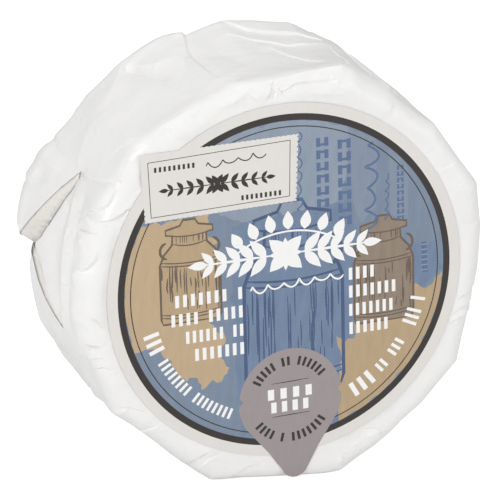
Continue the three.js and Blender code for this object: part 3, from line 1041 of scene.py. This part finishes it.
def front_art():
    """All the front label's printed shapes, lowest first, as (ink, outline)."""
    rng = np.random.default_rng(PRINT_SEED)
    middle = (0.0, 0.0)
    art = [(ink, disc(middle, radius, 180)) for ink, radius in (
        ("label_paper", LABEL_R), ("print_black", RING_OUT), ("print_blue", RING_IN))]

    def add(ink, outlines):
        art.extend((ink, outline) for outline in outlines)

    def wash(ink, outline, roughness):
        """Adds a brushed area that stops at the ring."""
        held = []
        for x, y in ragged(outline, rng, roughness):
            shrink = min(1.0, (RING_IN - 0.02) / max(math.hypot(x, y), 1e-6))
            held.append((x * shrink, y * shrink))
        art.append((ink, held))

    # Washes of colour: pale upright bands above, deeper blue low in the middle.
    pale = [(-16, 30.7)] + arc(middle, RING_IN, 120, 66, 14) + [
        (12.2, 20), (10, 13), (-8, 12.5), (-13, 15)]
    wash("print_blue_pale", pale, 0.2)
    wash("print_blue_grey", [(12.4, 28), (13, 14), (14.6, 9), (17.5, 12), (18, 25)], 0.15)
    wash("print_blue_grey", [(20.2, 23), (20.4, 10), (23.8, 9), (24, 19)], 0.15)
    deep = [(-10, 12), (12.5, 14), (14.5, 4), (29, 4), (30.4, -2), (27, -5), (13, -2),
            (12, -14), (10, -30), (-9, -29.5), (-10.5, -10)]
    wash("print_blue_deep", deep, 0.35)
    tan_left = arc(middle, RING_IN, 152, 198, 14) + [
        (-25.5, -9.2), (-23, -11.6), (-21.2, -14.5), (-19.5, -16.8), (-17.6, -16.2),
        (-16.6, -18.6), (-14.6, -17.2), (-12.6, -17.8), (-11.2, -15.2), (-13.6, -12.2),
        (-11.6, -9.4), (-14.8, -6), (-14.2, -1), (-16.4, 2), (-13.4, 5), (-15.8, 7.6),
        (-12.4, 9.6), (-15, 11.4), (-14.2, 15)]
    wash("print_tan", tan_left, 0.28)
    tan_right = arc(middle, RING_IN, -4, -71, 18) + [
        (9.4, -24), (10.6, -17), (9.6, -12.6), (13, -13.4), (13.4, -10.4), (16.6, -9.8),
        (14.2, -4), (16.8, -1.6), (17.6, 1.6), (21, 1.8), (23, -0.6), (24.6, -4.2),
        (27.4, -5.4), (29.2, -3.4)]
    wash("print_tan_deep", tan_right, 0.28)

    # Three churns drawn in line; the two smaller ones have a washed body.
    for ink, tint, where, low, wide, high in (
            ("print_brown", "print_tan_deep", -18.2, -5.0, 11.4, 19.6),
            ("print_navy", None, 1.4, -21.5, 19.0, 37.0),
            ("print_brown", "print_tan_brown", 19.0, -10.4, 11.6, 20.6)):
        body, strokes = churn(where, low, wide, high, rng)
        if tint:
            art.append((tint, body))
        add(ink, strokes)

    # Upright columns of print in the pale bands, as plain blocks and flourishes.
    for x, low, high, wide, count in ((7.4, 13.0, 27.0, 2.6, 6), (11.6, 9.0, 26.2, 2.8, 7),
                                      (22.4, 8.6, 19.6, 1.5, 9)):
        step, third = (high - low) / count, wide * 0.3
        for k in range(count):
            y = low + step * (k + 0.5)
            add("print_blue_ink", [block(side, y, third, step * 0.72)
                                   for side in (x - third, x + third)])
            shift = step * 0.2 * (-1) ** k
            add("print_blue_ink", [block(x, y + shift, wide * 0.4, step * 0.2)])
    add("print_blue_ink", [
        wave_line((2.9, 13), (3.0, 28), 0.55, 6, 0.3),
        wave_line((16.4, 6.5), (17.2, 25.0), 1.35, 4.5, 0.45),
        wave_line((19.6, 9), (19.9, 18), 0.4, 5, 0.25), block(27.0, 0.9, 1.1, 6.0, 2)])
    add("print_blue_pale", [block(27.0, 0.9 + k, 1.3, 0.22) for k in np.arange(-2.5, 3, 1.0)])

    # The hair ring, the title's emblem and the rows beside it.
    add("print_black", [band(middle, HAIR_RING, 0.2)])
    title = sprig(-2.8, 5.4, 12.6, 4.7, 180, 5) + sprig(2.8, 5.4, 12.6, 4.7, 0, 5)
    title += [leaf(0, 5.4, 4.4, 2.6, turn) for turn in (45, 135, 225, 315)]
    title += [leaf(0, 5.4, 3.2, 1.4, turn) for turn in (0, 90, 180, 270)]
    for turn in range(120, 50, -10):
        x, y = arc((0.6, -8.0), 18.0, turn, turn, 1)[0]
        title.append(leaf(x, y, 3.6, 2.1, turn))
    title.append(band((0.6, -8.0), 17.7, 0.35, 57, 123, 24))
    title.append(wave_line((-7.2, -0.9), (10.8, -0.2), 0.75, 6, 0.34, 90))
    add("print_white", title)
    for left, right, y, words in (
            (-21.6, -8.1, -0.9, (7, 1)), (-22.4, -8.1, -4.5, (4, 5)), (-19.7, -8.1, -8.1, (6, 2)),
            (-18.1, -8.0, -11.7, (7,)), (11.8, 17.4, -0.3, (4,)), (11.8, 21.6, -3.8, (7,)),
            (11.8, 21.0, -7.4, (7,)), (11.8, 20.0, -11.0, (6,))):
        add("print_white", block_row(left, right, y, 2.35, words))
    for radius, start, end, high, words in (
            (26.8, 193, 203, 3.0, (3,)), (26.8, 206, 246, 2.1, (8, 8)), (26.6, -63, -51, 3.0, (3,)),
            (26.6, -49, -33, 2.1, (2, 3)), (26.6, -27, -14, 3.0, (3, 1))):
        add("print_white", block_arc(middle, radius, start, end, high, words))

    # The stamp in the upper left.
    add("label_paper", [stamp_outline()])
    line, x, y = STAMP_FRAME + STAMP_FRAME[:1], -12.6, 20.6
    add("print_black", [
        *(stroke(pair, 0.26) for pair in zip(line, line[1:])),
        *block_row(-24.6, -16.6, 24.7, 0.95, (9,)), *block_row(-8.4, -0.4, 17.3, 0.95, (9,)),
        *sprig(x, y, 9.6, 2.3, 180, 5), *sprig(x, y, 9.6, 2.3, 0, 5),
        *(leaf(x, y, 2.0, 1.1, turn) for turn in (60, 120, 240, 300)),
        wave_line((-15.0, 24.2), (-3.6, 25.0), 0.6, 4, 0.22)])

    # The tab that the packet is opened by.
    add("print_tab", [tab_outline()])
    add("print_black", [
        stroke([(-3.2, -19.75), (0.4, -19.7), (4.0, -19.6)], 0.18),
        stroke([(-3.2, -26.35), (0.4, -26.3), (4.1, -26.25)], 0.18),
        *block_arc(TAB_MIDDLE, 7.6, 152, 32, 1.75, (5, 2, 6)),
        *block_arc(TAB_MIDDLE, 7.6, 212, 326, 1.75, (4, 1, 7))])
    for left, right, y in ((-4.6, 5.2, -21.9), (-3.9, 4.4, -24.5)):
        add("print_white", block_row(left, right, y, 2.1, (4,)))
    return art


def stamp_outline():
    return scalloped(STAMP, 0.95, (0.12, 0.3, 0.1, 0.2))


def closure_outline():
    return disc((0.0, 0.0), CLOSURE_R - 0.15, 150)


def closure_art():
    """The plain round label on the back: two rings, two sprigs and rows of blocks."""
    middle = (0.0, 0.0)
    art = [("label_paper", closure_outline()), ("print_blue", band(middle, CLOSURE_R - 3.2, 1.4)),
           ("print_black", band(middle, CLOSURE_R - 4.8, 0.2))]
    sprigs = sprig(-1.5, 8, 8.5, 2.8, 180, 4) + sprig(1.5, 8, 8.5, 2.8, 0, 4)
    art += [("print_blue", outline) for outline in sprigs]
    for half, y, words in ((12, 2.5, (6, 4, 7)), (14, -1, (5, 8, 5)), (14, -4.5, (7, 3, 7)),
                           (12, -8, (4, 4, 6)), (8, -11.5, (3, 6))):
        art += [("print_black", outline) for outline in block_row(-half, half, y, 1.5, words)]
    return art


def cut_sheet(art, outlines):
    """A flat sheet cut to the given outlines: points, triangles, inks, each triangle's ink."""
    grid, merge = 1.3, 1e-4
    coords, edges = [], []
    for _, loop in art:
        start, count = len(coords), len(loop)
        coords += loop
        edges += [(start + i, start + (i + 1) % count) for i in range(count)]
    reach = max(math.hypot(x, y) for x, y in coords)
    spots = [(x, y) for y in rows(-reach, reach, grid) for x in rows(-reach, reach, grid)]
    coords = [Vector(c) for c in coords + spots]
    result = delaunay_2d_cdt(coords, edges, [], 0, merge)
    flat = np.array([tuple(v) for v in result[0]])
    triangles = np.array([face for face in result[2] if len(face) == 3])
    middle = flat[triangles].mean(1)
    held = np.zeros(len(triangles), bool)
    for outline in outlines:
        held |= inside(middle, np.array(outline))
    triangles, middle = triangles[held], middle[held]
    inks = sorted({ink for ink, _ in art})
    chosen = np.full(len(triangles), inks.index("label_paper"))
    for ink, loop in art:
        box = np.array(loop)
        near = np.all((middle >= box.min(0)) & (middle <= box.max(0)), axis=1)
        spot = np.where(near)[0]
        chosen[spot[inside(middle[spot], box)]] = inks.index(ink)
    used, index = np.unique(triangles, return_inverse=True)
    return flat[used], index.reshape(-1, 3), inks, chosen


def label_object(name, art, outlines, depth, turn, faces_back, bend=None):
    """A printed sheet cut to the given outlines and printed with the art.

    It is turned by some degrees and lies at a depth along the wheel's axis; bend
    gives how far it leans in at a distance from its middle.
    """
    flat, triangles, inks, chosen = cut_sheet(art, outlines)
    x, z = np.array(turned(flat, 0, 0, turn)).T
    radius = np.hypot(flat[:, 0], flat[:, 1])
    lean = bend(radius) if bend else 0 * radius
    side = -1 if faces_back else 1
    points = np.stack([CENTRE[0] + side * x, depth + side * lean, CENTRE[2] + z], -1)
    piece = mesh_object(name, points, triangles)
    for ink in inks:
        piece.data.materials.append(print_material(ink))
    piece.data.polygons.foreach_set("material_index", chosen.astype(np.int32))
    if piece.data.polygons[0].normal.y * side > 0:
        piece.data.flip_normals()
    thicken(piece)
    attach(piece, "root")
    return piece


def lean_back(radius):
    """The stamp's outer corner and the tab's tip lean back over the rim."""
    slope, start, power = 0.05, 36.0, 1.5
    return slope * np.clip(radius - start, 0, None) ** power


def make_labels():
    front = label_object("front_label_print", front_art(),
                         [disc((0, 0), LABEL_R, 180), stamp_outline(), tab_outline()],
                         CENTRE[1] - FACE - LABEL_PROUD, LABEL_TURN, False, lean_back)
    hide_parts("front_label")
    back = label_object("closing_label_print", closure_art(), [closure_outline()],
                        CENTRE[1] + FACE + CLOSURE_PROUD, CLOSURE_TURN, True)
    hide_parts("back_label")


# ---- stage ----

WHITE = (1.0, 1.0, 1.0, 1.0)
FLOOR_SIZE, FLOOR_COLOUR, FLOOR_ROUGHNESS = 6, (0.9, 0.9, 0.9, 1.0), 0.8
FLOOR_LIFT = 0.6           # the floor's own light, which only the camera sees
SKY_LIGHT, SKY_SEEN = 0.45, 1.0   # the sky's strength on the object, and as seen

# name: place in metres, size in metres, power in watts
LIGHTS = {
    "key": ((-0.70, -0.50, 0.50), 0.45, 3.9),
    "fill": ((0.6, -0.8, 0.15), 0.7, 3.0),
    "top": ((0.25, 0.05, 1.0), 0.5, 2.3),
}

# The camera is turned to the wheel's left, looks down on it and is rolled.
AZIMUTH, ELEVATION, ROLL = -20.4, 18.86, 3.95
CAMERA_DISTANCE, VIEW_WIDTH, SENSOR = 0.65, 0.0909, 36
AIM_LEFT, AIM_UP = 0.00649, 0.00567   # metres from the middle of the front face


def seen_by_camera(tree, otherwise, seen):
    """A strength with one value in the camera's own view and another for light."""
    share = node(tree, "LightPath", {}, "Is Camera Ray")
    return node(tree, "MapRange", {"Value": share, "To Min": otherwise, "To Max": seen})


def make_stage():
    bpy.ops.mesh.primitive_plane_add(size=FLOOR_SIZE, location=(0, 0, 0))
    floor = bpy.context.object
    floor.name = "floor"
    made = bpy.data.materials.new("pale_floor")
    made.use_nodes = True
    tree = made.node_tree
    fill(tree, tree.nodes["Principled BSDF"], {
        "Base Color": FLOOR_COLOUR, "Roughness": FLOOR_ROUGHNESS, "Emission Color": WHITE,
        "Emission Strength": seen_by_camera(tree, 0.0, FLOOR_LIFT)})
    floor.data.materials.append(made)
    world = bpy.data.worlds.new("studio")
    bpy.context.scene.world = world
    world.use_nodes = True
    tree = world.node_tree
    fill(tree, tree.nodes["Background"], {
        "Color": WHITE, "Strength": seen_by_camera(tree, SKY_LIGHT, SKY_SEEN)})


def area_light(name, where, size, power):
    """A square light aimed at the wheel's middle."""
    data = bpy.data.lights.new(name, "AREA")
    data.size = size
    data.energy = power
    light = bpy.data.objects.new(name, data)
    light.location = where
    aim = Vector(CENTRE * MM) - Vector(where)
    light.rotation_euler = aim.to_track_quat("-Z", "Y").to_euler()
    bpy.context.scene.collection.objects.link(light)


def make_camera():
    """A long lens at the photograph's angle."""
    azimuth, elevation, roll = (math.radians(v) for v in (AZIMUTH, ELEVATION, ROLL))
    back = Vector((math.sin(azimuth) * math.cos(elevation),
                   -math.cos(azimuth) * math.cos(elevation), math.sin(elevation)))
    level_right = Vector((math.cos(azimuth), math.sin(azimuth), 0))
    right = Matrix.Rotation(roll, 3, back) @ level_right
    up = back.cross(right)
    face_middle = Vector(CENTRE * MM) - Vector((0, FACE * MM, 0))
    aim = face_middle - right * AIM_LEFT + up * AIM_UP
    data = bpy.data.cameras.new("camera")
    data.sensor_width = SENSOR
    data.lens = SENSOR * CAMERA_DISTANCE / VIEW_WIDTH
    data.clip_start, data.clip_end = 0.05, 20
    camera = bpy.data.objects.new("camera", data)
    turn = Matrix((right, up, back)).transposed().to_4x4()
    camera.matrix_world = Matrix.Translation(aim + back * CAMERA_DISTANCE) @ turn
    bpy.context.scene.collection.objects.link(camera)
    bpy.context.scene.camera = camera


# ---- assembly ----

bpy.context.scene.view_settings.view_transform = "Standard"
make_camera()
make_stage()
for name, (where, size, power) in LIGHTS.items():
    area_light(name, where, size, power)

outer = paper_material("wrapping_paper", (0.86, 0.855, 0.84), (0.90, 0.895, 0.885))
# A darker, warmer tone of the same paper: painted shade, for the sheets under the flap and inside the
# strip.
shade_paper = paper_material("wrapping_paper_painted_shade", (0.77, 0.735, 0.69), (0.83, 0.80, 0.76))
sheets = [
    (make_main_sheet(), outer),
    (make_patch("wrapper_flap", FLAP, FLAP_FOLDS, 21), outer),
    (make_patch("wrapper_strip", STRIP, STRIP_FOLDS, 31), outer),
    # These two sheets carry painted shade under the flap's edge and inside the strip's.
    (make_patch("wrapper_flap_painted_shade", FLAP_SHADE_SHEET, [], 41), shade_paper),
    (make_patch("wrapper_strip_painted_shade", STRIP_SHADE_SHEET, [], 51), shade_paper),
]
for sheet, paper in sheets:
    sheet.data.materials.append(paper)
    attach(sheet, "root")
    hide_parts("wrapper")

make_labels()

rind = rind_material()
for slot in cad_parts["cheese"].material_slots:
    slot.material = rind
